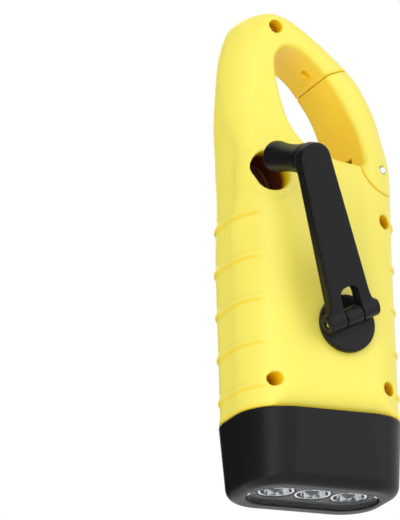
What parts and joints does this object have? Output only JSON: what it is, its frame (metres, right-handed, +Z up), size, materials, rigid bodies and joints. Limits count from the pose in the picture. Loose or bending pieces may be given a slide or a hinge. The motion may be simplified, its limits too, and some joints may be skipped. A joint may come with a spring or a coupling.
{
  "type": "hand crank flashlight",
  "caption": "Dynamo flashlight standing on its lamp head: ribbed two-part housing, folding crank with a knob pocket, solar cell panel and a clip-on loop with a sprung gate.",
  "frame": {"origin": "under the middle of the bounding box, on the plane that the lamp head stands on", "axes": "+Z up the flashlight toward the clip-on loop, -Y out of the crank face, +Y out of the solar panel, +X toward the gate and the push button"},
  "size_m": [0.0508, 0.0638, 0.1414],
  "materials": {
    "yellow_shell": "satin moulded yellow plastic",
    "black_shell": "black plastic with a fine moulded grain",
    "clear_window": "clear plastic window",
    "clear_lamp": "clear epoxy lamp",
    "chrome": "vacuum-metallised cups",
    "board": "green circuit board",
    "cell_film": "copper-brown solar cell under clear film",
    "steel": "plain steel",
    "nylon": "white nylon",
    "magnet": "sintered magnet",
    "copper": "enamelled copper wire"
  },
  "bodies": {
    "housing": {"front_shell": "yellow_shell", "back_shell": "yellow_shell", "housing_screw_1": "steel", "housing_screw_2": "steel", "housing_screw_3": "steel", "housing_screw_4": "steel", "head_bezel": "black_shell", "lens_window": "clear_window", "reflector": "chrome", "led_board": "board", "led_1": "clear_lamp", "led_2": "clear_lamp", "led_3": "clear_lamp", "solar_frame": "black_shell", "solar_cell": "cell_film", "gate_spring": "steel", "main_board": "board", "coin_cell_1": "steel", "coin_cell_2": "steel", "coin_cell_3": "steel", "button_switch": "black_shell", "gear_plate": "nylon", "plate_screw_1": "steel", "plate_screw_2": "steel", "first_axle": "steel", "second_axle": "steel", "rotor_axle": "steel", "stator_yoke": "steel", "stator_coil_1": "copper", "stator_coil_2": "copper", "stator_coil_3": "copper", "stator_coil_4": "copper", "stator_coil_5": "copper", "stator_coil_6": "copper", "hub_bush": "nylon"},
    "crank": {"crank_hub": "black_shell", "crank_gear": "nylon", "hub_screw": "steel"},
    "folding_arm": {"crank_arm": "black_shell", "hinge_pin": "steel", "knob_rivet": "black_shell"},
    "knob": {"crank_knob": "black_shell"},
    "first_wheel": {"first_gear": "nylon"},
    "second_wheel": {"second_gear": "nylon"},
    "rotor": {"rotor": "nylon", "rotor_magnet": "magnet"},
    "gate": {"gate": "yellow_shell", "gate_pin": "steel"},
    "button": {"push_button": "black_shell"}
  },
  "joints": [
    {"name": "crank_spin", "type": "hinge", "parent": "housing", "child": "crank", "pos_m": [0.00345, -0.00597, 0.0464], "axis": [0, 1, 0], "continuous": true},
    {"name": "arm_fold", "type": "hinge", "parent": "crank", "child": "folding_arm", "pos_m": [0.00293, -0.01117, 0.04748], "axis": [0.9033, 0, 0.4289], "range_deg": [-22, 158]},
    {"name": "knob_spin", "type": "hinge", "parent": "folding_arm", "child": "knob", "pos_m": [-0.01528, -0.02833, 0.08584], "axis": [-0.1607, 0.9272, 0.3384], "continuous": true},
    {"name": "first_wheel_spin", "type": "hinge", "parent": "housing", "child": "first_wheel", "pos_m": [-0.00028, 0.01203, 0.06134], "axis": [0, 1, 0], "continuous": true},
    {"name": "second_wheel_spin", "type": "hinge", "parent": "housing", "child": "second_wheel", "pos_m": [0.00672, 0.01203, 0.07347], "axis": [0, 1, 0], "continuous": true},
    {"name": "rotor_spin", "type": "hinge", "parent": "housing", "child": "rotor", "pos_m": [-0.00155, 0.01203, 0.08203], "axis": [0, 1, 0], "continuous": true},
    {"name": "gate_swing", "type": "hinge", "parent": "housing", "child": "gate", "pos_m": [0.01885, 0.01203, 0.095], "axis": [0, -1, 0], "range_deg": [0, 25], "stiffness_Nm_per_rad": 0.04, "springref_deg": -22.92},
    {"name": "button_press", "type": "slide", "parent": "housing", "child": "button", "axis": [-1, 0, 0], "range_m": [0, 0.001], "stiffness_N_per_m": 400, "springref_m": -0.002}
  ],
  "couplings": [
    {"joint": "first_wheel_spin", "follows": "crank_spin", "ratio": -3.4},
    {"joint": "second_wheel_spin", "follows": "crank_spin", "ratio": 10.2},
    {"joint": "rotor_spin", "follows": "crank_spin", "ratio": -24.48}
  ]
}
